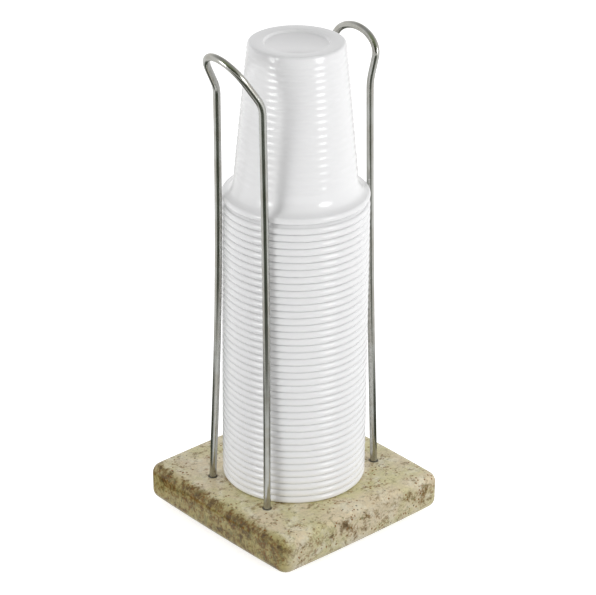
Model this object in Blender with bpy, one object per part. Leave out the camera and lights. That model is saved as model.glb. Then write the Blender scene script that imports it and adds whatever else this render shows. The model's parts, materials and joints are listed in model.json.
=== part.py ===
"""Countertop cup dispenser: a stone base, two bent wire arches and a stack of nested cups.

Metres, +Z up. The origin is on the surface that the dispenser stands on, under the stack's axis.
The arches stand left and right of the stack, at -X and +X, and each one's legs stand apart along Y.
"""

import math

import bmesh
import bpy
from mathutils import Vector

# Clearances
contact_gap = 0.0003        # between pieces that rest on each other
cutter_overrun = 0.0010     # how far a cutter reaches out of what it cuts

# Edges that bend more than this are drawn sharp
sharp_edge_deg = 35.0

# Stone base
base_margin = 0.0166        # from the cups' rims to the slab's sides
base_thickness = 0.0182
base_corner_radius = 0.0056
base_edge_radius = 0.0048
base_side_bow = 0.0009      # how far the middle of a side stands out past its ends
base_side_cuts = 3
base_corner_steps = 4
base_edge_steps = 4

# Pads under the base
pad_diameter = 0.0160
pad_thickness = 0.0015
pad_chamfer = 0.0004
pad_edge_margin = 0.0032    # from the flat underside's border to a pad
pad_sides = 24

# Cups
cup_count = 42
cup_height = 0.0746
cup_pitch = 0.003455        # from one nested cup to the next
top_cup_pitch = 0.0049      # the cup on top sits a little looser
rim_radius = 0.0342
rim_height = 0.0026
rim_crest_height = 0.0012
rim_bevel = 0.0011
lip_width = 0.0015          # from the bead's outside to the mouth
shoulder_inset = 0.0037     # from the bead's outside to the shoulder's upper edge
shoulder_rise = 0.0013      # height of the shoulder above the bead
flare_rise = 0.0026         # height of the wall's flare above the shoulder
cup_wall = 0.00020
rim_flare = 0.0052          # how far the rim stands out past the foot of the wall
wall_draw = 0.00685         # how much narrower the wall is at the closed end than at its foot
bottom_corner = 0.0014
bottom_ring_width = 0.00695 # of the ring around the recess in the closed end
bottom_recess_depth = 0.0012
bottom_recess_slope = 0.0008
rib_count = 19
first_rib_drop = 0.0033     # from the closed end down to the first rib
first_rib_pitch = 0.00284   # the ribs lie further apart towards the mouth
last_rib_pitch = 0.00358
rib_height = 0.00022
plain_cup_sides = 18
ribbed_cup_sides = 30

# Cups that come off one by one, counted from the top; the rest lift out together
single_cup_count = 3

# Wire
wire_diameter = 0.0034
wire_side_steps = 2
socket_depth = 0.0120
socket_sides = 12
sleeve_wall = 0.00040       # cured adhesive between the wire and the stone
sleeve_gap = 0.00015
foot_clearance = 0.0037     # between the cups' rims and the legs, at the stone
foot_angle_deg = 30.0
leg_points = 9
bend_length = 0.0040        # of the wire on each side of the bend under the loop
bend_points = 5
loop_points = 19

# Each arch as it is bent by hand: where its legs end, how far they bow in towards the cups on
# their way up, how its loop leans out, and how much further than the legs' ends each half of
# the loop bulges
arch_shapes = {
    "left": {
        "side": -1,
        "leg_rise": 0.1999,
        "leg_bow": 0.0016,
        "top_clearance": 0.0011,
        "top_angle_deg": 24.7,
        "tilt_deg": 32.2,
        "loop_reach": 0.0087,
        "loop_bulge": -0.0024,
        "loop_rise": 0.0164,
    },
    "right": {
        "side": 1,
        "leg_rise": 0.1941,
        "leg_bow": 0.0006,
        "top_clearance": 0.0003,
        "top_angle_deg": 18.7,
        "tilt_deg": 4.8,
        "loop_reach": 0.0130,
        "loop_bulge": 0.0022,
        "loop_rise": 0.0097,
    },
}

# Places that follow from the sizes above
base_side = 2 * (rim_radius + base_margin)
wire_radius = wire_diameter / 2
base_bottom = pad_thickness + contact_gap
base_top = base_bottom + base_thickness
stack_bottom = base_top + contact_gap
sleeve_inner_radius = wire_radius + sleeve_gap
sleeve_outer_radius = sleeve_inner_radius + sleeve_wall
socket_radius = sleeve_outer_radius + sleeve_gap
socket_floor = base_top - socket_depth
foot_radius = rim_radius + foot_clearance + wire_radius
foot_angle = math.radians(foot_angle_deg)
foot_x = foot_radius * math.cos(foot_angle)
foot_y = foot_radius * math.sin(foot_angle)
pad_offset = base_side / 2 - base_edge_radius - pad_edge_margin - pad_diameter / 2
mouth_body_radius = rim_radius - rim_flare
bottom_radius = mouth_body_radius - wall_draw
bottom_recess_radius = bottom_radius - bottom_ring_width
shoulder_radius = rim_radius - shoulder_inset
shoulder_height = rim_height + shoulder_rise
flare_height = shoulder_height + flare_rise
wall_taper = wall_draw / (cup_height - flare_height)
rib_pitch_step = (last_rib_pitch - first_rib_pitch) / (rib_count - 2)
weld_distance = cup_wall / 100

corner_signs = {
    "front_left": (-1, -1),
    "front_right": (1, -1),
    "back_left": (-1, 1),
    "back_right": (1, 1),
}


def clear_scene():
    for old in list(bpy.data.objects):
        bpy.data.objects.remove(old, do_unlink=True)


def make_material(name, color, roughness, metallic=0.0, transmission=0.0):
    material = bpy.data.materials.new(name)
    material.use_nodes = True
    shader = material.node_tree.nodes["Principled BSDF"]
    shader.inputs["Base Color"].default_value = (*color, 1.0)
    shader.inputs["Roughness"].default_value = roughness
    shader.inputs["Metallic"].default_value = metallic
    shader.inputs["Transmission Weight"].default_value = transmission
    material.diffuse_color = (*color, 1.0)
    return material


def make_empty(name, location, parent=None):
    empty = bpy.data.objects.new(name, None)
    bpy.context.collection.objects.link(empty)
    empty.location = location
    empty.parent = parent
    return empty


def make_object(name, data, material, parent, location=(0, 0, 0)):
    """Links an object and puts it at a place in the world, under its parent."""
    obj = bpy.data.objects.new(name, data)
    bpy.context.collection.objects.link(obj)
    obj.parent = parent
    lowered = Vector(location)
    while parent:
        lowered -= parent.location
        parent = parent.parent
    obj.location = lowered
    if not data.materials:
        data.materials.append(material)
    return obj


def finish_mesh(name, mesh_builder):
    """Turns a bmesh into a mesh that is smooth except at its sharp edges."""
    mesh = bpy.data.meshes.new(name)
    mesh_builder.to_mesh(mesh)
    mesh_builder.free()
    mesh.shade_smooth()
    mesh.set_sharp_from_angle(angle=math.radians(sharp_edge_deg))
    return mesh


def spin_profile(name, profile, sides):
    """Turns a closed outline of (radius, height) points about +Z."""
    shape = bmesh.new()
    verts = [shape.verts.new((radius, 0, height)) for radius, height in profile]
    pairs = zip(verts, verts[1:] + verts[:1])
    on_axis = [radius == 0 for radius, height in profile]
    edges = []
    for index, (start, end) in enumerate(pairs):
        if not (on_axis[index] and on_axis[(index + 1) % len(profile)]):
            edges.append(shape.edges.new((start, end)))
    bmesh.ops.spin(
        shape, geom=verts + edges, axis=(0, 0, 1), cent=(0, 0, 0),
        angle=2 * math.pi, steps=sides, use_merge=True, use_duplicate=False,
    )
    bmesh.ops.remove_doubles(shape, verts=shape.verts, dist=weld_distance)
    bmesh.ops.recalc_face_normals(shape, faces=shape.faces)
    return finish_mesh(name, shape)


# Stone base

def make_base(stone, parent):
    """A slab with round corners, rounded edges and sides that bow out, drilled for the legs."""
    slab = bmesh.new()
    bmesh.ops.create_cube(slab, size=1)
    bmesh.ops.scale(slab, vec=(base_side, base_side, base_thickness), verts=slab.verts)
    upright = [e for e in slab.edges if abs(e.verts[0].co.z - e.verts[1].co.z) > base_thickness / 2]
    bmesh.ops.bevel(
        slab, geom=upright, offset=base_corner_radius, offset_type="OFFSET",
        segments=base_corner_steps, profile=0.5, affect="EDGES", material=-1,
    )
    border = [e for e in slab.edges if abs(e.verts[0].co.z - e.verts[1].co.z) < base_thickness / 2]
    bmesh.ops.bevel(
        slab, geom=border, offset=base_edge_radius, offset_type="OFFSET",
        segments=base_edge_steps, profile=0.5, affect="EDGES", material=-1,
    )
    long_edges = [e for e in slab.edges if e.calc_length() > base_side / 2]
    bmesh.ops.subdivide_edges(slab, edges=long_edges, cuts=base_side_cuts, use_grid_fill=True)
    half_side = base_side / 2
    for vert in slab.verts:
        share_x = vert.co.x / half_side
        share_y = vert.co.y / half_side
        vert.co.x -= base_side_bow * share_x * share_y ** 2
        vert.co.y -= base_side_bow * share_y * share_x ** 2
    bmesh.ops.recalc_face_normals(slab, faces=slab.faces)
    mesh = finish_mesh("stone_base", slab)
    base = make_object("stone_base", mesh, stone, parent, (0, 0, base_bottom + base_thickness / 2))
    for name, (side_x, side_y) in corner_signs.items():
        drill = make_drill("socket_cutter_" + name, (side_x * foot_x, side_y * foot_y), parent)
        cut = base.modifiers.new("socket_" + name, "BOOLEAN")
        cut.operation = "DIFFERENCE"
        cut.solver = "EXACT"
        cut.object = drill


def make_drill(name, place, parent):
    depth = socket_depth + cutter_overrun
    cutter = bmesh.new()
    bmesh.ops.create_cone(
        cutter, cap_ends=True, segments=socket_sides, radius1=socket_radius,
        radius2=socket_radius, depth=depth,
    )
    mesh = finish_mesh(name, cutter)
    drill = bpy.data.objects.new(name, mesh)
    bpy.context.collection.objects.link(drill)
    drill.parent = parent
    drill.location = (place[0], place[1], socket_floor + depth / 2)
    drill.hide_render = True
    drill.display_type = "WIRE"
    return drill


def make_pad(name, place, rubber, parent):
    """A thin round bumper whose lower edge is broken."""
    radius = pad_diameter / 2
    profile = [
        (0, pad_thickness),
        (radius, pad_thickness),
        (radius, pad_chamfer),
        (radius - pad_chamfer, 0),
        (0, 0),
    ]
    mesh = spin_profile(name, profile, pad_sides)
    make_object(name, mesh, rubber, parent, (place[0], place[1], 0))


def make_sleeve(name, place, adhesive, parent):
    """The ring of cured adhesive that fills a socket around its leg."""
    depth = socket_depth - contact_gap
    profile = [
        (sleeve_outer_radius, depth),
        (sleeve_outer_radius, 0),
        (sleeve_inner_radius, 0),
        (sleeve_inner_radius, depth),
    ]
    mesh = spin_profile(name, profile, socket_sides)
    make_object(name, mesh, adhesive, parent, (place[0], place[1], socket_floor + contact_gap))


# Wire arches

def arch_leg_top(shape):
    """Where the leg at +Y of an arch at +X ends and its loop begins."""
    radius = rim_radius + wire_radius + shape["top_clearance"]
    angle = math.radians(shape["top_angle_deg"])
    return Vector((radius * math.cos(angle), radius * math.sin(angle), base_top + shape["leg_rise"]))


def arch_half_path(shape):
    """The wire's centre line from the foot at +Y to the loop's crown, for an arch at +X."""
    top = arch_leg_top(shape)
    foot = Vector((foot_x, foot_y, base_top))
    inward = -Vector((foot.x + top.x, foot.y + top.y, 0)).normalized()

    # The leg stands upright in its socket and bows gently on its way up
    path = [Vector((foot_x, foot_y, socket_floor + contact_gap)), foot]
    for step in range(1, leg_points):
        share = step / leg_points
        path.append(foot.lerp(top, share) + inward * shape["leg_bow"] * math.sin(math.pi * share))

    # The loop lies in a plane that leans out; the wire runs into it along a tangent
    tilt = math.radians(shape["tilt_deg"])
    climb = Vector((math.sin(tilt), 0, math.cos(tilt)))
    reach = shape["loop_reach"]
    half_width = top.y + shape["loop_bulge"]
    rise = shape["loop_rise"]
    drawn_y = top.y * rise / half_width
    start_angle = math.atan2(-reach, drawn_y) + math.acos(rise / math.hypot(drawn_y, reach))
    centre = Vector((top.x, 0, top.z)) + climb * reach

    def loop_point(angle):
        return centre + climb * rise * math.sin(angle) + Vector((0, half_width * math.cos(angle), 0))

    loop_start = loop_point(start_angle)
    before = top + (path[-1] - top).normalized() * bend_length
    after = top + (loop_start - top).normalized() * bend_length
    for step in range(bend_points):
        share = step / (bend_points - 1)
        path.append(before.lerp(top, share).lerp(top.lerp(after, share), share))
    half_steps = (loop_points - 1) // 2
    for step in range(half_steps + 1):
        share = step / half_steps
        path.append(loop_point(start_angle + (math.pi / 2 - start_angle) * share))
    return path


def make_arch(name, shape, steel, parent):
    """One length of round wire: a leg, the loop and the other leg."""
    half = arch_half_path(shape)
    other_half = [Vector((point.x, -point.y, point.z)) for point in reversed(half[:-1])]
    path = [Vector((shape["side"] * p.x, p.y, p.z)) for p in half + other_half]
    curve = bpy.data.curves.new(name, "CURVE")
    curve.dimensions = "3D"
    curve.bevel_depth = wire_radius
    curve.bevel_resolution = wire_side_steps
    curve.use_fill_caps = True
    curve.twist_mode = "MINIMUM"
    spline = curve.splines.new("POLY")
    spline.points.add(len(path) - 1)
    for target, point in zip(spline.points, path):
        target.co = (*point, 1.0)
    make_object(name, curve, steel, parent)


# Cups

def wall_radius(height):
    """Outside radius of the plain wall at a height above the rim's lower edge."""
    return bottom_radius + wall_taper * (cup_height - height)


def wall_profile(ribbed):
    """The outside of the wall, from under the bottom's corner down to the flare."""
    if not ribbed:
        return []
    points = []
    crest = cup_height - first_rib_drop
    for rib in range(rib_count):
        pitch = first_rib_pitch + rib * rib_pitch_step
        valley = crest - pitch / 2
        points.append((wall_radius(crest) + rib_height, crest))
        points.append((wall_radius(valley), valley))
        crest -= pitch
    return points


def cup_profile(ribbed):
    """Outline of a cup that stands on its mouth: outside downwards, then inside upwards."""
    top = cup_height
    if ribbed:
        closed_end = [
            (0, top - bottom_recess_depth),
            (bottom_recess_radius - bottom_recess_slope, top - bottom_recess_depth),
            (bottom_recess_radius, top),
            (bottom_radius - bottom_corner, top),
            (wall_radius(top - bottom_corner), top - bottom_corner),
        ]
        ceiling = top - bottom_recess_depth - cup_wall
    else:
        closed_end = [(0, top), (bottom_radius, top)]
        ceiling = top - cup_wall
    mouth = [
        (mouth_body_radius, flare_height),
        (shoulder_radius, shoulder_height),
        (rim_radius - rim_bevel, rim_height),
        (rim_radius, rim_crest_height),
        (rim_radius - lip_width, 0),
    ]
    inside = [
        (shoulder_radius - cup_wall, shoulder_height - cup_wall),
        (mouth_body_radius - cup_wall, flare_height),
        (wall_radius(ceiling) - cup_wall, ceiling),
        (0, ceiling),
    ]
    return closed_end + wall_profile(ribbed) + mouth + inside


def cup_height_above_ground(number):
    """Height of a cup's mouth; cup 1 is on top."""
    lowest_first = cup_count - max(number, 2)
    height = stack_bottom + lowest_first * cup_pitch
    if number == 1:
        height += top_cup_pitch
    return height


def make_cups(plastic, stack):
    """All cups; the top ones each hang from an empty of their own on the stack's axis."""
    plain = spin_profile("plain_cup", cup_profile(False), plain_cup_sides)
    ribbed = spin_profile("ribbed_cup", cup_profile(True), ribbed_cup_sides)
    holders = {}
    below = stack
    for number in range(single_cup_count, 0, -1):
        mouth = cup_height_above_ground(number)
        lift = make_empty("cup_%02d_lift" % number, (0, 0, mouth - holder_height(below)), below)
        holders[number] = lift
        below = lift
    for number in range(1, cup_count + 1):
        mesh = ribbed if number == 1 else plain
        place = (0, 0, cup_height_above_ground(number))
        make_object("cup_%02d" % number, mesh, plastic, holders.get(number, stack), place)


def holder_height(empty):
    """Height of an empty in the world, counted up through its parents."""
    height = 0
    while empty:
        height += empty.location.z
        empty = empty.parent
    return height


def build():
    clear_scene()
    stone = make_material("speckled_stone", (0.56, 0.50, 0.37), 0.32)
    steel = make_material("bright_steel", (0.62, 0.61, 0.57), 0.18, metallic=1.0)
    plastic = make_material("translucent_plastic", (0.86, 0.86, 0.87), 0.35, transmission=0.15)
    rubber = make_material("clear_rubber", (0.55, 0.54, 0.50), 0.55)
    adhesive = make_material("dark_adhesive", (0.10, 0.09, 0.07), 0.50)

    stand = make_empty("stand", (0, 0, 0))
    stack = make_empty("stack_lift", (0, 0, stack_bottom), stand)

    make_base(stone, stand)
    for name, (side_x, side_y) in corner_signs.items():
        make_pad("pad_" + name, (side_x * pad_offset, side_y * pad_offset), rubber, stand)
        make_sleeve("adhesive_sleeve_" + name, (side_x * foot_x, side_y * foot_y), adhesive, stand)
    for name, shape in arch_shapes.items():
        make_arch("wire_arch_" + name, shape, steel, stand)
    make_cups(plastic, stack)
    bpy.context.view_layer.update()


build()
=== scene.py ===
import json
import math

import bmesh
import bpy
from mathutils import Matrix, Vector

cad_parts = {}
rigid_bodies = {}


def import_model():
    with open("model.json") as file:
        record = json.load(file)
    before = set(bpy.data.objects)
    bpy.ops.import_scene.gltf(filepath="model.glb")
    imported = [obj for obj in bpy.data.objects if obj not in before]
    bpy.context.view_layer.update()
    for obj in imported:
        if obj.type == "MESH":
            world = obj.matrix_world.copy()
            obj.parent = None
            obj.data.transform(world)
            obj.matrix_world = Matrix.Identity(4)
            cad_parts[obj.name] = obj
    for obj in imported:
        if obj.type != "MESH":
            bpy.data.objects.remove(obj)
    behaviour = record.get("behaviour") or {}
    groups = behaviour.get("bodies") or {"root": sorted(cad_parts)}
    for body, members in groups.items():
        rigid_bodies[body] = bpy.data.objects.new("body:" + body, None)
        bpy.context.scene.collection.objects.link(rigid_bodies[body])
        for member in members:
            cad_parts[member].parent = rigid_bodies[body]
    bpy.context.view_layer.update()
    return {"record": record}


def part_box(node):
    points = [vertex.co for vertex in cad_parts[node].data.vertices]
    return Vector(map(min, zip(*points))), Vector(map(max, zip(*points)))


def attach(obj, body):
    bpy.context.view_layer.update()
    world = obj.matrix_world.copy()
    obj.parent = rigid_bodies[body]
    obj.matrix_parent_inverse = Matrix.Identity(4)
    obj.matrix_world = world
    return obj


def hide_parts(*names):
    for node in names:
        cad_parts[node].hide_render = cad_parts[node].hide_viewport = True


# Cup dispenser: a speckled stone base, two bent wire arches and a stack of upturned cups.
# Metres, +Z up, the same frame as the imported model. The photograph looks from -X, -Y and above.

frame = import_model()
bodyOfNode = {
    node: body
    for body, nodes in frame["record"]["behaviour"]["bodies"].items()
    for node in nodes
}
cornerNames = ("front_left", "front_right", "back_left", "back_right")
weldDistance = 0.000002
noiseLow, noiseHigh = 0.3, 0.7      # most values of a noise lie between these


# Helpers for pieces

def lowCorner(node):
    return Vector(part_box(node)[0])


def highCorner(node):
    return Vector(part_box(node)[1])


def nodeMiddle(node):
    return (lowCorner(node) + highCorner(node)) / 2


def pieceFromMesh(name, mesh, material, smoothDegrees):
    mesh.shade_smooth()
    mesh.set_sharp_from_angle(angle=math.radians(smoothDegrees))
    mesh.materials.clear()
    mesh.materials.append(material)
    piece = bpy.data.objects.new(name, mesh)
    bpy.context.collection.objects.link(piece)
    return piece


def pieceFromShape(name, shape, material, smoothDegrees):
    mesh = bpy.data.meshes.new(name)
    shape.to_mesh(mesh)
    shape.free()
    return pieceFromMesh(name, mesh, material, smoothDegrees)


def standFor(piece, node):
    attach(piece, bodyOfNode[node])
    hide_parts(node)


def arcPoints(centre, radius, startDegrees, endDegrees, steps):
    # points of a round stretch in the (radius, height) plane, both ends included
    points = []
    for step in range(steps + 1):
        angle = math.radians(startDegrees + (endDegrees - startDegrees) * step / steps)
        points.append((centre[0] + radius * math.cos(angle), centre[1] + radius * math.sin(angle)))
    return points


def turnedShape(outline, sides):
    # a closed outline of (radius, height) points turned about +Z
    shape = bmesh.new()
    verts = [shape.verts.new((radius, 0, height)) for radius, height in outline]
    edges = []
    for index, start in enumerate(verts):
        end = verts[(index + 1) % len(verts)]
        if start.co.x > 0 or end.co.x > 0:
            edges.append(shape.edges.new((start, end)))
    bmesh.ops.spin(
        shape, geom=verts + edges, cent=(0, 0, 0), axis=(0, 0, 1), angle=2 * math.pi,
        steps=sides, use_merge=True, use_duplicate=False,
    )
    bmesh.ops.remove_doubles(shape, verts=shape.verts, dist=weldDistance)
    bmesh.ops.recalc_face_normals(shape, faces=shape.faces)
    return shape


def moveShape(shape, place):
    bmesh.ops.translate(shape, vec=Vector(place), verts=shape.verts)


# Helpers for materials

def newMaterial(name, color, roughness, metallic=0.0):
    material = bpy.data.materials.new(name)
    material.use_nodes = True
    shader = material.node_tree.nodes["Principled BSDF"]
    shader.inputs["Base Color"].default_value = (*color, 1.0)
    shader.inputs["Roughness"].default_value = roughness
    shader.inputs["Metallic"].default_value = metallic
    material.diffuse_color = (*color, 1.0)
    return material


def objectPlace(material, offset=(0, 0, 0), scale=(1, 1, 1), turn=(0, 0, 0)):
    tree = material.node_tree
    coordinates = tree.nodes.new("ShaderNodeTexCoord")
    mapping = tree.nodes.new("ShaderNodeMapping")
    mapping.inputs["Location"].default_value = offset
    mapping.inputs["Rotation"].default_value = [math.radians(angle) for angle in turn]
    mapping.inputs["Scale"].default_value = scale
    tree.links.new(coordinates.outputs["Object"], mapping.inputs["Vector"])
    return mapping.outputs["Vector"]


def noiseFactor(material, place, size, detail=3, roughness=0.55, distortion=0.0):
    # size is the width of a typical patch, in metres
    tree = material.node_tree
    noise = tree.nodes.new("ShaderNodeTexNoise")
    noise.inputs["Scale"].default_value = 1 / size
    noise.inputs["Detail"].default_value = detail
    noise.inputs["Roughness"].default_value = roughness
    noise.inputs["Distortion"].default_value = distortion
    tree.links.new(place, noise.inputs["Vector"])
    return noise.outputs["Fac"]


def stepFactor(material, factor, low, high, bottom=0.0, top=1.0):
    # a soft step from bottom, below low, to top, above high
    tree = material.node_tree
    step = tree.nodes.new("ShaderNodeMapRange")
    step.interpolation_type = "SMOOTHSTEP"
    step.inputs["From Min"].default_value = low
    step.inputs["From Max"].default_value = high
    step.inputs["To Min"].default_value = bottom
    step.inputs["To Max"].default_value = top
    tree.links.new(factor, step.inputs["Value"])
    return step.outputs["Result"]


def mathFactor(material, operation, first, second=0.0):
    tree = material.node_tree
    node = tree.nodes.new("ShaderNodeMath")
    node.operation = operation
    for value, socket in ((first, node.inputs[0]), (second, node.inputs[1])):
        if isinstance(value, (int, float)):
            socket.default_value = value
        else:
            tree.links.new(value, socket)
    return node.outputs["Value"]


def multiplied(material, first, second):
    return mathFactor(material, "MULTIPLY", first, second)


def added(material, first, second):
    return mathFactor(material, "ADD", first, second)


def splitPlace(material, place):
    split = material.node_tree.nodes.new("ShaderNodeSeparateXYZ")
    material.node_tree.links.new(place, split.inputs[0])
    return split.outputs


def mixedColor(material, factor, first, second):
    # a Mix node for colours; its factor is input 0, its colours are inputs 6 and 7
    tree = material.node_tree
    mix = tree.nodes.new("ShaderNodeMix")
    mix.data_type = "RGBA"
    tree.links.new(factor, mix.inputs[0])
    for value, socket in ((first, mix.inputs[6]), (second, mix.inputs[7])):
        if isinstance(value, tuple):
            socket.default_value = (*value, 1.0)
        else:
            tree.links.new(value, socket)
    return mix.outputs[2]


def mixedValue(holder, factor, first, second):
    # a Mix node for plain values; its factor is input 0, its values are inputs 2 and 3
    tree = holder.node_tree
    mix = tree.nodes.new("ShaderNodeMix")
    tree.links.new(factor, mix.inputs[0])
    for value, socket in ((first, mix.inputs[2]), (second, mix.inputs[3])):
        if isinstance(value, (int, float)):
            socket.default_value = value
        else:
            tree.links.new(value, socket)
    return mix.outputs[0]


def addBump(material, height, depth):
    # depth is the bump's height in metres
    tree = material.node_tree
    bump = tree.nodes.new("ShaderNodeBump")
    bump.inputs["Distance"].default_value = depth
    tree.links.new(height, bump.inputs["Height"])
    tree.links.new(bump.outputs["Normal"], tree.nodes["Principled BSDF"].inputs["Normal"])


def driveInput(material, name, socket):
    shader = material.node_tree.nodes["Principled BSDF"]
    material.node_tree.links.new(socket, shader.inputs[name])


def driveRoughness(material, noise, look):
    # the roughness varies with a noise between the look's glossiest and dullest
    varied = stepFactor(material, noise, noiseLow, noiseHigh, look["glossiest"], look["dullest"])
    driveInput(material, "Roughness", varied)


# Materials

stoneLook = {
    "sage": (0.70, 0.645, 0.365),
    "beige": (0.79, 0.68, 0.47),
    "pale": (0.89, 0.84, 0.66),
    "olive": (0.235, 0.215, 0.085),
    "rust": (0.27, 0.115, 0.020),
    "ochre": (0.47, 0.385, 0.100),
    "umber": (0.235, 0.140, 0.034),
    "dark": (0.085, 0.050, 0.022),
    "roughness": 0.12,
    "glossiest": 0.09,          # roughness varies between these two
    "dullest": 0.15,
    "specular": 0.30,
    "flankInner": -0.0435,      # X where the rich side fades out, and where it is full
    "flankOuter": -0.0505,
    "faceInner": -0.0480,       # the same in Y for the other side in view
    "faceOuter": -0.0508,
    "faceShare": 0.40,
    "edgeLow": 0.0095,          # blotches gather from this height on the sides
    "edgeHigh": 0.0150,
    "ochreShare": 0.75,
    "rustShare": 0.55,
    # painted shade: the -X and -Y sides' colour is darkened by these shares, as they get less light than
    # the top
    "flankPaintedShade": 0.84,
    "facePaintedShade": 0.83,
    "grainLow": 0.90,           # the fine grain darkens and lightens the colour by these shares
    "grainHigh": 1.08,
    "bumpDepth": 0.00002,
}
# each pattern's place in its noise, the width of a patch, and the noise's detail, roughness and distortion
stonePatterns = {
    "ground": {"offset": (0.2, 0.1, 0.4), "noise": (0.024, 3, 0.55, 0.3)},
    "crystals": {"offset": (0.13, 0.05, 0.02), "noise": (0.0075, 6, 0.62, 0.5)},
    "blotches": {"offset": (0.61, 0.35, 0.18), "noise": (0.0048, 8, 0.74, 0.3)},
    "flecks": {
        "offset": (0.31, 0.22, 0.12), "scale": (1.0, 2.0, 1.3), "turn": (20, 10, 35),
        "noise": (0.0038, 6, 0.66, 0.3),
    },
    "rustField": {"offset": (0.07, 0.41, 0.33), "noise": (0.0085, 3)},
    "rustSpots": {"offset": (0.52, 0.11, 0.27), "noise": (0.0016, 3, 0.5, 0.2)},
    "dotField": {"offset": (0.17, 0.61, 0.43), "noise": (0.0085, 3)},
    "speckField": {"offset": (0.9, 0.3, 0.6), "noise": (0.0075, 2)},
    "grain": {"noise": (0.0012, 3, 0.7)},
    "swell": {"noise": (0.0075, 3)},
}
# between which values of its noise a pattern sets in, from none of its colour to how much of it
stoneSteps = {
    "ground": (0.40, 0.60),
    "crystals": (0.48, 0.66, 0.0, 0.65),
    "umber": (0.52, 0.67, 0.0, 0.88),
    "dark": (0.62, 0.74, 0.0, 0.80),
    "flecks": (0.56, 0.72, 0.0, 0.80),
    "rustField": (0.51, 0.62),
    "rustSpots": (0.50, 0.62),
    "dotField": (0.49, 0.56),
    "speckField": (0.53, 0.63),
}
# how much a pattern's noise is raised where the stone is rich in dark minerals
stoneRichness = {
    "flankBlotches": 0.06,
    "edgeBlotches": 0.065,
    "flecks": 0.07,
    "rustField": 0.09,
    "dotField": 0.05,
    "speckField": 0.06,
}
# round specks, one to a cell: the cell's width, and the speck's full and faded radius as shares of it
stoneSpecks = {
    "brown": {"offset": (0.4, 0.2, 0.7), "size": 0.0021, "inner": 0.20, "outer": 0.30},
    "dark": {"offset": (0, 0, 0), "size": 0.0030, "inner": 0.10, "outer": 0.20},
}
speckStrength = 0.9


def stonePattern(stone, name):
    pattern = stonePatterns[name]
    change = {key: pattern[key] for key in ("offset", "scale", "turn") if key in pattern}
    return noiseFactor(stone, objectPlace(stone, **change), *pattern["noise"])


def speckFactor(stone, name):
    speck = stoneSpecks[name]
    cells = stone.node_tree.nodes.new("ShaderNodeTexVoronoi")
    cells.inputs["Scale"].default_value = 1 / speck["size"]
    stone.node_tree.links.new(objectPlace(stone, speck["offset"]), cells.inputs["Vector"])
    return stepFactor(stone, cells.outputs["Distance"], speck["inner"], speck["outer"], speckStrength, 0.0)


def stoneMaterial():
    look = stoneLook
    stone = newMaterial("speckledStone", look["beige"], look["roughness"])
    stone.node_tree.nodes["Principled BSDF"].inputs["Specular IOR Level"].default_value = look["specular"]

    def stepped(name, factor):
        return stepFactor(stone, factor, *stoneSteps[name])

    def enriched(pattern, where, name):
        return added(stone, pattern, multiplied(stone, where, stoneRichness[name]))

    # a cloudy ground with pale crystals
    color = mixedColor(stone, stepped("ground", stonePattern(stone, "ground")), look["sage"], look["beige"])
    crystals = stepped("crystals", stonePattern(stone, "crystals"))
    color = mixedColor(stone, crystals, color, look["pale"])

    # the side at -X and its upper edge are richer in dark minerals; further down, the same side masks also
    # carry painted shade on the -X and -Y sides
    sides = splitPlace(stone, objectPlace(stone))
    flank = stepFactor(stone, sides["X"], look["flankOuter"], look["flankInner"], 1.0, 0.0)
    face = stepFactor(stone, sides["Y"], look["faceOuter"], look["faceInner"], 1.0, 0.0)
    rich = mathFactor(stone, "MAXIMUM", flank, multiplied(stone, face, look["faceShare"]))
    color = mixedColor(stone, multiplied(stone, flank, look["ochreShare"]), color, look["ochre"])

    # brown blotches, mostly on the rich side
    blotches = stonePattern(stone, "blotches")
    edge = stepFactor(stone, sides["Z"], look["edgeLow"], look["edgeHigh"])
    near = multiplied(stone, mathFactor(stone, "MAXIMUM", flank, face), edge)
    blotches = enriched(blotches, flank, "flankBlotches")
    blotches = enriched(blotches, near, "edgeBlotches")
    color = mixedColor(stone, stepped("umber", blotches), color, look["umber"])
    color = mixedColor(stone, stepped("dark", blotches), color, look["dark"])

    # drawn-out olive flecks
    flecks = enriched(stonePattern(stone, "flecks"), rich, "flecks")
    color = mixedColor(stone, stepped("flecks", flecks), color, look["olive"])

    # clusters of rust
    field = enriched(stonePattern(stone, "rustField"), rich, "rustField")
    spots = stonePattern(stone, "rustSpots")
    rust = multiplied(stone, stepped("rustField", field), stepped("rustSpots", spots))
    color = mixedColor(stone, multiplied(stone, rust, look["rustShare"]), color, look["rust"])

    # round brown dots and a few dark specks
    for speckName, fieldName, colorName in (("brown", "dotField", "rust"), ("dark", "speckField", "dark")):
        field = enriched(stonePattern(stone, fieldName), rich, fieldName)
        specks = multiplied(stone, speckFactor(stone, speckName), stepped(fieldName, field))
        color = mixedColor(stone, specks, color, look[colorName])

    # a fine grain in colour and roughness, and painted shade that darkens the -X and -Y sides
    grain = stonePattern(stone, "grain")
    lift = stone.node_tree.nodes.new("ShaderNodeVectorMath")
    lift.operation = "SCALE"
    stone.node_tree.links.new(color, lift.inputs[0])
    shade = stepFactor(stone, grain, noiseLow, noiseHigh, look["grainLow"], look["grainHigh"])
    # painted shade: the -X and -Y sides are made darker than the top
    shade = multiplied(stone, shade, stepFactor(stone, flank, 0.0, 1.0, 1.0, look["flankPaintedShade"]))
    shade = multiplied(stone, shade, stepFactor(stone, face, 0.0, 1.0, 1.0, look["facePaintedShade"]))
    stone.node_tree.links.new(shade, lift.inputs["Scale"])
    driveInput(stone, "Base Color", lift.outputs["Vector"])
    driveRoughness(stone, grain, look)
    addBump(stone, stonePattern(stone, "swell"), look["bumpDepth"])
    return stone


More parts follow.
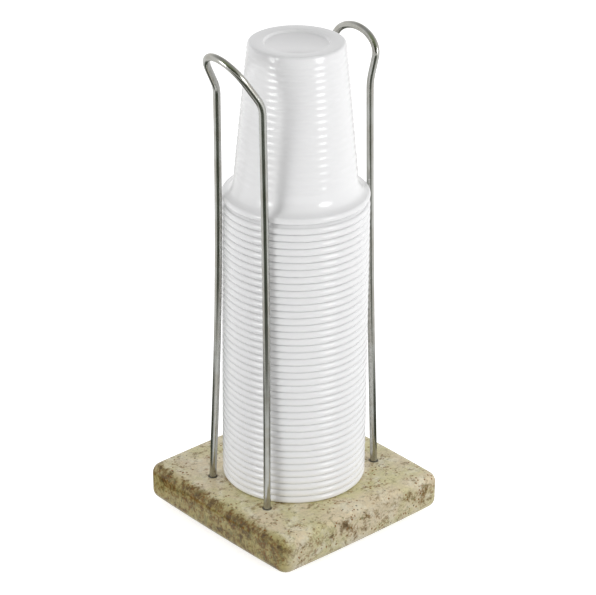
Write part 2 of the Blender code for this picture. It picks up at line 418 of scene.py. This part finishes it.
wireLook = {
    "color": (0.50, 0.505, 0.480),
    "warm": (0.42, 0.41, 0.37),
    "roughness": 0.20,
    "glossiest": 0.14,
    "dullest": 0.26,
    "bumpDepth": 0.000012,
    "streakWidth": 0.0004,
    "streakStretch": 0.03,
    "streakNoise": 0.6,         # roughness of the noise
    "cloudSize": 0.010,
    "cloudLow": 0.35,
    "cloudHigh": 0.65,
}


def wireMaterial():
    look = wireLook
    steel = newMaterial("drawnSteel", look["color"], look["roughness"], metallic=1.0)
    cloud = noiseFactor(steel, objectPlace(steel), look["cloudSize"])
    cloud = stepFactor(steel, cloud, look["cloudLow"], look["cloudHigh"])
    driveInput(steel, "Base Color", mixedColor(steel, cloud, look["color"], look["warm"]))
    along = objectPlace(steel, scale=(1, 1, look["streakStretch"]))
    streaks = noiseFactor(steel, along, look["streakWidth"], roughness=look["streakNoise"])
    driveRoughness(steel, streaks, look)
    addBump(steel, streaks, look["bumpDepth"])
    return steel


cupLook = {
    "color": (0.975, 0.975, 0.98),
    "dimming": 0.975,
    "roughness": 0.15,
    "glossiest": 0.13,
    "dullest": 0.18,
    "bumpDepth": 0.000002,
    "mottleSize": 0.009,
    "mottleDetail": 2,
    "skinSize": 0.0015,
}


def cupMaterial():
    look = cupLook
    plastic = newMaterial("cupPlastic", look["color"], look["roughness"])
    mottle = noiseFactor(plastic, objectPlace(plastic), look["mottleSize"], look["mottleDetail"])
    dimmer = tuple(share * look["dimming"] for share in look["color"])
    driveInput(plastic, "Base Color", mixedColor(plastic, mottle, look["color"], dimmer))
    skin = noiseFactor(plastic, objectPlace(plastic), look["skinSize"])
    driveRoughness(plastic, skin, look)
    addBump(plastic, skin, look["bumpDepth"])
    return plastic


adhesiveLook = {
    "color": (0.075, 0.065, 0.045),
    "darker": (0.055, 0.05, 0.035),
    "lighter": (0.11, 0.095, 0.06),
    "roughness": 0.35,
    "grainSize": 0.0006,
    "bumpDepth": 0.00003,
}


def adhesiveMaterial():
    look = adhesiveLook
    glue = newMaterial("curedAdhesive", look["color"], look["roughness"])
    grain = noiseFactor(glue, objectPlace(glue), look["grainSize"])
    driveInput(glue, "Base Color", mixedColor(glue, grain, look["darker"], look["lighter"]))
    addBump(glue, grain, look["bumpDepth"])
    return glue


rubberLook = {
    "color": (0.50, 0.49, 0.45),
    "darker": (0.46, 0.45, 0.41),
    "lighter": (0.56, 0.55, 0.51),
    "roughness": 0.45,
    "cloudSize": 0.004,
    "grainSize": 0.0005,
    "grainDetail": 2,
    "bumpDepth": 0.00002,
}


def rubberMaterial():
    look = rubberLook
    rubber = newMaterial("clearRubber", look["color"], look["roughness"])
    cloud = noiseFactor(rubber, objectPlace(rubber), look["cloudSize"])
    driveInput(rubber, "Base Color", mixedColor(rubber, cloud, look["darker"], look["lighter"]))
    grain = noiseFactor(rubber, objectPlace(rubber), look["grainSize"], look["grainDetail"])
    addBump(rubber, grain, look["bumpDepth"])
    return rubber


stoneFinish = stoneMaterial()
steelFinish = wireMaterial()
plasticFinish = cupMaterial()
glueFinish = adhesiveMaterial()
rubberFinish = rubberMaterial()
print("materials made")


# Stone base: a slab with rounded corners and edges, whose sides bow out a little

baseShape = {
    "cornerRadius": 0.0056,
    "edgeRadius": 0.0048,
    "cornerSteps": 12,
    "edgeSteps": 10,
    "sideCuts": 15,
    "bow": 0.0009,          # how far a corner lies behind the middle of its sides
    "holeRadius": 0.00230,
    "holeFlare": 0.00010,
    "holeRoom": 0.0003,     # below the adhesive
    "holeSides": 48,
    "smoothDegrees": 40,
}


def makeBase():
    values = baseShape
    low = lowCorner("stone_base")
    size = highCorner("stone_base") - low
    centre = nodeMiddle("stone_base")
    slab = bmesh.new()
    bmesh.ops.create_cube(slab, size=1)
    bmesh.ops.scale(slab, vec=size, verts=slab.verts)
    upright = [e for e in slab.edges if abs(e.verts[0].co.z - e.verts[1].co.z) > size.z / 2]
    bmesh.ops.bevel(
        slab, geom=upright, offset=values["cornerRadius"], offset_type="OFFSET",
        segments=values["cornerSteps"], profile=0.5, affect="EDGES", material=-1,
    )
    border = [e for e in slab.edges if abs(e.verts[0].co.z - e.verts[1].co.z) < size.z / 2]
    bmesh.ops.bevel(
        slab, geom=border, offset=values["edgeRadius"], offset_type="OFFSET",
        segments=values["edgeSteps"], profile=0.5, affect="EDGES", material=-1,
    )
    # the long edges get points in between, so that the sides can bow
    longEdges = [e for e in slab.edges if e.calc_length() > size.x / 2]
    bmesh.ops.subdivide_edges(slab, edges=longEdges, cuts=values["sideCuts"], use_grid_fill=True)
    half = size.x / 2
    for vert in slab.verts:
        x, y = vert.co.x, vert.co.y
        vert.co.x -= values["bow"] * (x / half) * (y / half) ** 2
        vert.co.y -= values["bow"] * (y / half) * (x / half) ** 2
    moveShape(slab, centre)
    bmesh.ops.recalc_face_normals(slab, faces=slab.faces)
    base = pieceFromShape("stoneSlab", slab, stoneFinish, values["smoothDegrees"])
    drills = []
    for name in cornerNames:
        drills.append(makeDrill(name))
        cut = base.modifiers.new("hole_" + name, "BOOLEAN")
        cut.operation = "DIFFERENCE"
        cut.solver = "EXACT"
        cut.object = drills[-1]
    settled = bakeModifiers(base, values["smoothDegrees"])
    for drill in drills:
        bpy.data.objects.remove(drill, do_unlink=True)
    standFor(settled, "stone_base")


def makeDrill(name):
    # a drill with a flared collar, so that the hole's mouth is broken
    values = baseShape
    sleeve = "adhesive_sleeve_" + name
    floor = lowCorner(sleeve).z - values["holeRoom"]
    top = highCorner("stone_base").z
    radius = values["holeRadius"]
    flare = values["holeFlare"]
    outline = [
        (0, floor),
        (radius, floor),
        (radius, top - flare),
        (radius + 2 * flare, top + flare),
        (0, top + flare),
    ]
    shape = turnedShape(outline, values["holeSides"])
    middle = nodeMiddle(sleeve)
    moveShape(shape, (middle.x, middle.y, 0))
    return pieceFromShape("drill_" + name, shape, stoneFinish, values["smoothDegrees"])


def bakeModifiers(piece, smoothDegrees):
    graph = bpy.context.evaluated_depsgraph_get()
    mesh = bpy.data.meshes.new_from_object(piece.evaluated_get(graph))
    name = piece.name
    material = piece.data.materials[0]
    bpy.data.objects.remove(piece, do_unlink=True)
    return pieceFromMesh(name, mesh, material, smoothDegrees)


makeBase()
print("stone base made")


# Wire arches, bent as the photograph shows them

wireShape = {
    "diameter": 0.0034,
    "legPoints": 28,
    "bendShare": 1 / 9,         # the top of a leg that its bend takes
    "bendLength": 0.0040,
    "bendPoints": 13,
    "loopPoints": 61,
    "sideSteps": 8,
    "smoothDegrees": 60,
}
archBends = {
    "left": {
        "side": -1, "legRise": 0.1999, "legBow": 0.0016, "topClearance": 0.0011, "topAngle": 24.7,
        "tilt": 32.2, "loopReach": 0.0087, "loopBulge": -0.0024, "loopRise": 0.0163,
    },
    "right": {
        "side": 1, "legRise": 0.1941, "legBow": 0.0006, "topClearance": 0.0003, "topAngle": 18.7,
        "tilt": 4.8, "loopReach": 0.0130, "loopBulge": 0.0022, "loopRise": 0.0097,
    },
}
cupRimRadius = (highCorner("cup_02").x - lowCorner("cup_02").x) / 2


def archHalfPath(bends):
    # the centre line from the foot at +Y up to the loop's crown, for an arch at +X
    values = wireShape
    baseTop = highCorner("stone_base").z
    foot = nodeMiddle("adhesive_sleeve_back_right")
    foot.z = baseTop
    radius = cupRimRadius + values["diameter"] / 2 + bends["topClearance"]
    angle = math.radians(bends["topAngle"])
    top = Vector((radius * math.cos(angle), radius * math.sin(angle), baseTop + bends["legRise"]))
    inward = -Vector((foot.x + top.x, foot.y + top.y, 0)).normalized()
    path = [Vector((foot.x, foot.y, lowCorner("adhesive_sleeve_back_right").z)), foot.copy()]
    lastShare = 1 - values["bendShare"]
    for step in range(1, values["legPoints"] + 1):
        share = lastShare * step / values["legPoints"]
        path.append(foot.lerp(top, share) + inward * bends["legBow"] * math.sin(math.pi * share))

    tilt = math.radians(bends["tilt"])
    climb = Vector((math.sin(tilt), 0, math.cos(tilt)))
    reach, rise = bends["loopReach"], bends["loopRise"]
    halfWidth = top.y + bends["loopBulge"]
    drawnY = top.y * rise / halfWidth
    startAngle = math.atan2(-reach, drawnY) + math.acos(rise / math.hypot(drawnY, reach))
    centre = Vector((top.x, 0, top.z)) + climb * reach

    def loopPoint(turn):
        return centre + climb * rise * math.sin(turn) + Vector((0, halfWidth * math.cos(turn), 0))

    before = top + (path[-1] - top).normalized() * values["bendLength"]
    after = top + (loopPoint(startAngle) - top).normalized() * values["bendLength"]
    for step in range(values["bendPoints"]):
        share = step / (values["bendPoints"] - 1)
        path.append(before.lerp(top, share).lerp(top.lerp(after, share), share))
    halfSteps = (values["loopPoints"] - 1) // 2
    for step in range(halfSteps + 1):
        path.append(loopPoint(startAngle + (math.pi / 2 - startAngle) * step / halfSteps))
    return path


def makeArch(name, bends):
    half = archHalfPath(bends)
    other = [Vector((point.x, -point.y, point.z)) for point in reversed(half[:-1])]
    curve = bpy.data.curves.new("wire_" + name, "CURVE")
    curve.dimensions = "3D"
    curve.bevel_depth = wireShape["diameter"] / 2
    curve.bevel_resolution = wireShape["sideSteps"]
    curve.use_fill_caps = True
    curve.twist_mode = "MINIMUM"
    spline = curve.splines.new("POLY")
    spline.points.add(len(half) + len(other) - 1)
    for target, point in zip(spline.points, half + other):
        target.co = (bends["side"] * point.x, point.y, point.z, 1.0)
    curve.materials.append(steelFinish)
    wire = bpy.data.objects.new("wireArch_" + name, curve)
    bpy.context.collection.objects.link(wire)
    mesh = bpy.data.meshes.new_from_object(wire.evaluated_get(bpy.context.evaluated_depsgraph_get()))
    bpy.data.objects.remove(wire, do_unlink=True)
    piece = pieceFromMesh("wireArch_" + name, mesh, steelFinish, wireShape["smoothDegrees"])
    standFor(piece, "wire_arch_" + name)


for side, bends in archBends.items():
    makeArch(side, bends)
print("wire arches made")


# Adhesive around each foot, with a meniscus that climbs the wire

collarShape = {
    "innerRadius": 0.00175,
    "outerRadius": 0.00218,
    "meniscus": 0.00040,
    "steps": 4,
    "sides": 40,
    "smoothDegrees": 50,
}


def makeCollar(name):
    values = collarShape
    node = "adhesive_sleeve_" + name
    bottom = lowCorner(node).z
    top = highCorner(node).z
    inner, outer, climb = values["innerRadius"], values["outerRadius"], values["meniscus"]
    outline = [(inner, bottom), (outer, bottom), (outer, top - climb / 4)]
    for step in range(values["steps"]):
        share = (step + 1) / values["steps"]
        outline.append((outer + (inner - outer) * share, top + climb * share ** 3))
    shape = turnedShape(outline, values["sides"])
    middle = nodeMiddle(node)
    moveShape(shape, (middle.x, middle.y, 0))
    piece = pieceFromShape("footCollar_" + name, shape, glueFinish, values["smoothDegrees"])
    standFor(piece, node)


# Round bumpers under the base

bumperShape = {"edge": 0.0006, "steps": 6, "sides": 64, "smoothDegrees": 50}


def makeBumper(name):
    values = bumperShape
    node = "pad_" + name
    low, high, middle = lowCorner(node), highCorner(node), nodeMiddle(node)
    radius = (high.x - low.x) / 2
    edge = values["edge"]
    outline = [(0, high.z), (radius - edge / 2, high.z), (radius, high.z - edge / 2)]
    outline += arcPoints((radius - edge, low.z + edge), edge, 0, -90, values["steps"])
    outline.append((0, low.z))
    shape = turnedShape(outline, values["sides"])
    moveShape(shape, (middle.x, middle.y, 0))
    piece = pieceFromShape("bumper_" + name, shape, rubberFinish, values["smoothDegrees"])
    standFor(piece, node)


for cornerName in cornerNames:
    makeCollar(cornerName)
    makeBumper(cornerName)
print("collars and bumpers made")


# Cups: thin walls with fine ribs, a rolled rim and a recess in the closed end

cupShape = {
    "sides": 144,
    "hiddenSides": 96,
    "wall": 0.00020,
    "closedRadius": 0.02215,
    "closedCorner": 0.0014,
    "cornerEnd": 6,             # degrees, where the corner meets the slope of the wall
    "cornerSteps": 6,
    "recessRadius": 0.0152,
    "recessDepth": 0.0012,
    "recessSlope": 0.0010,
    "recessSteps": 8,
    "mouthBodyRadius": 0.02915,
    "ribCount": 19,
    "firstRibPitch": 0.00284,
    "lastRibPitch": 0.00358,
    "firstRibDrop": 0.0033,
    "ribOut": 0.00010,
    "ribIn": 0.00008,
    "ribSteps": 6,
    "wallFoot": 0.0037,         # height at which the cone of the wall has the mouth body's radius
    "flareStart": 0.0090,
    "flareSteps": 6,
    "shoulderHeight": 0.0041,
    "shoulderRadius": 0.0306,
    "shoulderRound": 0.0008,
    "shoulderFall": 0.00048,
    "shoulderSag": 0.00003,
    "secondRise": 0.0012,       # the second cup's shoulder lies higher, just below the top cup's rim
    "valleyIn": 0.0013,         # the dip between shoulder and bead, from the rim's outside
    "valleyHeight": 0.00307,
    "beadHeight": 0.00310,
    "beadWidth": 0.0013,
    "crestHeight": 0.0014,
    "lipRound": 0.0010,
    "lipWidth": 0.0015,
    "beadSteps": 8,
    "smoothDegrees": 50,
}
visibleRibs = ("cup_01", "cup_02", "cup_03", "cup_04")


def cupWallRadius(z, height):
    values = cupShape
    taper = (values["mouthBodyRadius"] - values["closedRadius"]) / (height - values["wallFoot"])
    return values["closedRadius"] + taper * (height - z)


def cupOutline(height, ribbed, rise):
    # from the middle of the closed end out and down to the mouth, then back up the inside
    wall = cupShape["wall"]
    valley = (cupRimRadius - cupShape["valleyIn"], cupShape["valleyHeight"])
    floor = height - cupShape["recessDepth"]
    ceiling = floor - wall
    outline = closedEndPoints(height, floor)
    if ribbed:
        outline += ribPoints(height)
    outline += flarePoints(height, rise, 0)
    outline += rimPoints(valley, rise)
    outline.append((valley[0] - wall, valley[1] - wall))
    outline += reversed(flarePoints(height, rise, wall))
    outline.append((cupWallRadius(ceiling, height) - wall, ceiling))
    outline.append((0, ceiling))
    return outline


def closedEndPoints(height, floor):
    # a soft step at the recess, then the round corner
    values = cupShape
    radius, corner = values["closedRadius"], values["closedCorner"]
    recess, depth, slope = values["recessRadius"], values["recessDepth"], values["recessSlope"]
    points = [(0, floor)]
    for step in range(values["recessSteps"] + 1):
        share = step / values["recessSteps"]
        points.append((recess - slope * (1 - share), floor + depth * (3 * share ** 2 - 2 * share ** 3)))
    centre = (radius - corner, height - corner)
    return points + arcPoints(centre, corner, 90, values["cornerEnd"], values["cornerSteps"])


def ribPoints(height):
    # the ribs lie further apart towards the mouth
    values = cupShape
    steps = values["ribSteps"]
    first, last = values["firstRibPitch"], values["lastRibPitch"]
    z = height - values["firstRibDrop"] + first / 4
    points = []
    for rib in range(values["ribCount"]):
        pitch = first + (last - first) * rib / (values["ribCount"] - 2)
        for step in range(1, steps + 1):
            z -= pitch / steps
            swing = math.sin(2 * math.pi * step / steps)
            swell = values["ribOut"] if swing > 0 else values["ribIn"]
            points.append((cupWallRadius(z, height) + swell * swing, z))
    return points


def flarePoints(height, rise, inward):
    # the flare below the ribs, from the cone of the wall down to the shoulder
    values = cupShape
    start, end, steps = values["flareStart"] + rise, values["shoulderHeight"] + rise, values["flareSteps"]
    widening = values["shoulderRadius"] - cupWallRadius(end, height)
    points = []
    for step in range(steps + 1):
        share = step / steps
        z = start + (end - start) * share
        points.append((cupWallRadius(z, height) + widening * share ** 2 - inward, z - inward))
    return points


def rimPoints(valley, rise):
    # the shoulder slopes down to the valley, then the rolled rim ends at the mouth
    values = cupShape
    rim, crest, steps = cupRimRadius, values["crestHeight"], values["beadSteps"]
    shoulder = values["shoulderHeight"] + rise
    edge = (values["shoulderRadius"] + values["shoulderRound"], shoulder - values["shoulderFall"])
    sag = ((edge[0] + valley[0]) / 2, (edge[1] + valley[1]) / 2 - values["shoulderSag"])
    points = [edge, sag, valley]
    for step in range(steps + 1):
        angle = math.radians(90 - 90 * step / steps)
        points.append((
            rim - values["beadWidth"] * (1 - math.cos(angle)),
            crest + (values["beadHeight"] - crest) * math.sin(angle),
        ))
    for step in range(1, steps + 1):
        angle = math.radians(90 * step / steps)
        points.append((rim - values["lipRound"] * (1 - math.cos(angle)), crest * (1 - math.sin(angle))))
    points.append((rim - values["lipWidth"], 0))
    return points


def makeCup(node):
    low, high = lowCorner(node), highCorner(node)
    ribbed = node in visibleRibs
    sides = cupShape["sides"] if ribbed else cupShape["hiddenSides"]
    rise = cupShape["secondRise"] if node == "cup_02" else 0
    shape = turnedShape(cupOutline(high.z - low.z, ribbed, rise), sides)
    moveShape(shape, (0, 0, low.z))
    name = node.replace("cup_", "nestedCup")
    piece = pieceFromShape(name, shape, plasticFinish, cupShape["smoothDegrees"])
    standFor(piece, node)


for cupNode in sorted(name for name in bodyOfNode if name.startswith("cup_")):
    makeCup(cupNode)
print("cups made")


# Camera, where the photograph was taken from

camera = {
    "place": (-0.6715, -0.7498, 0.6003),
    "azimuth": -41.926,
    "elevation": 25.902,
    "roll": 0.461,
    "focalPixels": 2400.0,
    "widthPixels": 596,
    "sensor": 36.0,
    "nearest": 0.01,
}


def makeCamera():
    azimuth, elevation, roll = (math.radians(camera[key]) for key in ("azimuth", "elevation", "roll"))
    back = Vector((
        math.sin(azimuth) * math.cos(elevation),
        -math.cos(azimuth) * math.cos(elevation),
        math.sin(elevation),
    ))
    right = Vector((0, 0, 1)).cross(back).normalized()
    up = back.cross(right)
    turnedRight = right * math.cos(roll) + up * math.sin(roll)
    turnedUp = up * math.cos(roll) - right * math.sin(roll)
    data = bpy.data.cameras.new("photoCamera")
    data.sensor_fit = "HORIZONTAL"
    data.sensor_width = camera["sensor"]
    data.lens = camera["focalPixels"] * camera["sensor"] / camera["widthPixels"]
    data.clip_start = camera["nearest"]
    view = bpy.data.objects.new("photoCamera", data)
    bpy.context.collection.objects.link(view)
    turn = Matrix((turnedRight, turnedUp, back)).transposed().to_4x4()
    view.matrix_world = Matrix.Translation(camera["place"]) @ turn
    bpy.context.scene.camera = view
    return back, right


towardCamera, cameraRight = makeCamera()


# Floor and light: a white studio with a dim opening where the camera stands

studio = {
    "floorSize": 8.0,
    "floorColor": (0.90, 0.90, 0.90),
    "floorRoughness": 0.8,
    "floorSmooth": 40,
    "floorGlow": 0.70,
    "shadeFloor": (0.74, 0.74, 0.74),       # in front, as it lights the object
    "mirrorFloor": (0.36, 0.36, 0.35),      # below the glow, as the object reflects it
    "mirrorDark": (0.085, 0.10, 0.07),
    "darkNear": 0.070,          # dark cards lie beside the object, and further off in front of it
    "darkTurn": 0.205,
    "darkFar": 0.95,
    "darkFade": 0.2,            # share of these distances over which the cards fade
    "worldColor": (1.0, 1.0, 1.0),
    "aroundLight": 1.17,
    "overheadLevel": 0.42,
    "bandLow": 0.25,
    "bandHigh": 0.95,
    "shadeLevel": 0.0,          # the opening, as it lights the object
    "shadeTurn": -15.0,         # degrees to the right of the camera
    "shadeInner": 48.0,
    "shadeOuter": 84.0,
    "mirrorWalls": 1.0,
    "mirrorOverhead": 0.42,
    "mirrorLevel": 0.06,        # the opening, as the object reflects it
    "mirrorTint": (0.85, 1.0, 0.62),
    "mirrorTurn": -2.0,
    "mirrorInner": 26.0,
    "mirrorOuter": 66.0,
    "softboxTurn": 52.0,
    "softboxRise": 12.0,
    "softboxAway": 1.3,
    "softboxSize": 0.56,
    "softboxAim": 0.12,         # height that they point at
    "rightPower": 6.0,
    "leftPower": 5.8,
}


def makeFloor():
    shape = bmesh.new()
    bmesh.ops.create_grid(shape, x_segments=1, y_segments=1, size=studio["floorSize"] / 2)
    material = newMaterial("paleFloor", studio["floorColor"], studio["floorRoughness"])
    tree = material.node_tree
    shader = tree.nodes["Principled BSDF"]
    shader.inputs["Specular IOR Level"].default_value = 0.0
    shader.inputs["Emission Color"].default_value = (1, 1, 1, 1)
    path = tree.nodes.new("ShaderNodeLightPath")
    cards = cardMask(material)
    mirrored = mixedColor(material, cards, studio["mirrorFloor"], studio["mirrorDark"])
    front = facingOpening(material, tree.nodes.new("ShaderNodeTexCoord").outputs["Object"], "shade")
    front = multiplied(material, front, path.outputs["Is Diffuse Ray"])
    color = mixedColor(material, front, studio["floorColor"], studio["shadeFloor"])
    color = mixedColor(material, path.outputs["Is Glossy Ray"], color, mirrored)
    tree.links.new(color, shader.inputs["Base Color"])
    bare = mathFactor(material, "SUBTRACT", 1.0, cards)
    seen = multiplied(material, path.outputs["Is Glossy Ray"], bare)
    for kind in ("Is Camera Ray", "Is Transmission Ray"):
        seen = mathFactor(material, "MAXIMUM", seen, path.outputs[kind])
    glow = multiplied(material, seen, studio["floorGlow"])
    tree.links.new(glow, shader.inputs["Emission Strength"])
    floor = pieceFromShape("floor", shape, material, studio["floorSmooth"])


def cardMask(material):
    # 1 on the dark cards, which show in reflections alone
    tree = material.node_tree
    place = tree.nodes.new("ShaderNodeTexCoord").outputs["Object"]
    away = tree.nodes.new("ShaderNodeVectorMath")
    away.operation = "LENGTH"
    tree.links.new(place, away.inputs[0])
    distance = away.outputs["Value"]
    less, more = 1 - studio["darkFade"], 1 + studio["darkFade"]
    turn = stepFactor(material, distance, studio["darkTurn"] * less, studio["darkTurn"] * more, 1, 0)
    sector = facingOpening(material, place, "mirror")
    cards = mathFactor(material, "ABSOLUTE", mathFactor(material, "SUBTRACT", turn, sector))
    near = stepFactor(material, distance, studio["darkNear"], studio["darkNear"] * more, 0, 1)
    far = stepFactor(material, distance, studio["darkFar"] * less, studio["darkFar"], 1, 0)
    return multiplied(material, multiplied(material, near, far), cards)


def facingOpening(holder, direction, kind):
    # 1 where a direction, seen from above, points at the opening, else 0
    tree = holder.node_tree
    level = Vector((towardCamera.x, towardCamera.y, 0)).normalized()
    turn = math.radians(studio[kind + "Turn"])
    opening = level * math.cos(turn) + cameraRight * math.sin(turn)
    flat = tree.nodes.new("ShaderNodeVectorMath")
    flat.operation = "MULTIPLY"
    flat.inputs[1].default_value = (1, 1, 0)
    tree.links.new(direction, flat.inputs[0])
    unit = tree.nodes.new("ShaderNodeVectorMath")
    unit.operation = "NORMALIZE"
    tree.links.new(flat.outputs["Vector"], unit.inputs[0])
    facing = tree.nodes.new("ShaderNodeVectorMath")
    facing.operation = "DOT_PRODUCT"
    facing.inputs[1].default_value = opening
    tree.links.new(unit.outputs["Vector"], facing.inputs[0])
    outer = math.cos(math.radians(studio[kind + "Outer"]))
    inner = math.cos(math.radians(studio[kind + "Inner"]))
    return stepFactor(holder, facing.outputs["Value"], outer, inner)


def makeWorld():
    world = bpy.data.worlds.new("studio")
    bpy.context.scene.world = world
    world.use_nodes = True
    tree = world.node_tree
    background = tree.nodes["Background"]
    direction = tree.nodes.new("ShaderNodeTexCoord").outputs["Generated"]
    path = tree.nodes.new("ShaderNodeLightPath")
    height = stepFactor(world, splitPlace(world, direction)["Z"], studio["bandLow"], studio["bandHigh"])

    # what lights the object is more even than what it reflects
    shade = facingOpening(world, direction, "shade")
    mirror = facingOpening(world, direction, "mirror")
    light = mixedValue(world, shade, studio["aroundLight"], studio["shadeLevel"])
    light = mixedValue(world, height, light, studio["overheadLevel"])
    reflected = mixedValue(world, mirror, studio["mirrorWalls"], studio["mirrorLevel"])
    reflected = mixedValue(world, height, reflected, studio["mirrorOverhead"])
    lit = mixedValue(world, path.outputs["Is Glossy Ray"], light, reflected)
    seen = mathFactor(world, "MAXIMUM", path.outputs["Is Camera Ray"], path.outputs["Is Transmission Ray"])
    seen = mixedValue(world, seen, lit, 1.0)
    tint = multiplied(world, mirror, path.outputs["Is Glossy Ray"])
    color = mixedColor(world, tint, studio["worldColor"], studio["mirrorTint"])
    tree.links.new(color, background.inputs["Color"])
    tree.links.new(seen, background.inputs["Strength"])


def makeReceivers(name, starts):
    # the pieces that a lamp lights
    receivers = bpy.data.collections.new(name)
    for piece in list(bpy.context.collection.objects):
        if piece.type == "MESH" and piece.name.startswith(starts):
            receivers.objects.link(piece)
    return receivers


def makeSoftbox(name, turnDegrees, power, receivers, mirrored):
    level = Vector((towardCamera.x, towardCamera.y, 0)).normalized()
    turn = math.radians(turnDegrees)
    rise = math.radians(studio["softboxRise"])
    direction = (level * math.cos(turn) + cameraRight * math.sin(turn)) * math.cos(rise)
    direction.z = math.sin(rise)
    aim = Vector((0, 0, studio["softboxAim"]))
    data = bpy.data.lights.new(name, "AREA")
    data.shape = "DISK"
    data.size = studio["softboxSize"]
    data.energy = power
    lamp = bpy.data.objects.new(name, data)
    bpy.context.collection.objects.link(lamp)
    lamp.location = aim + direction * studio["softboxAway"]
    lamp.rotation_euler = direction.to_track_quat("Z", "Y").to_euler()
    lamp.light_linking.receiver_collection = receivers
    lamp.visible_glossy = mirrored


makeFloor()
makeWorld()
# the cups and wires mirror the softboxes; the polished stone, which would glare, gets dull twins of them
shinyPieces = makeReceivers("shinyPieces", ("nestedCup", "wireArch", "footCollar", "bumper"))
dullPieces = makeReceivers("dullPieces", ("stoneSlab", "floor"))
for receivers, mirrored in ((shinyPieces, True), (dullPieces, False)):
    makeSoftbox("rightSoftbox", studio["softboxTurn"], studio["rightPower"], receivers, mirrored)
    makeSoftbox("leftSoftbox", -studio["softboxTurn"], studio["leftPower"], receivers, mirrored)
bpy.context.scene.view_settings.view_transform = "Standard"
print("camera, floor and light made")
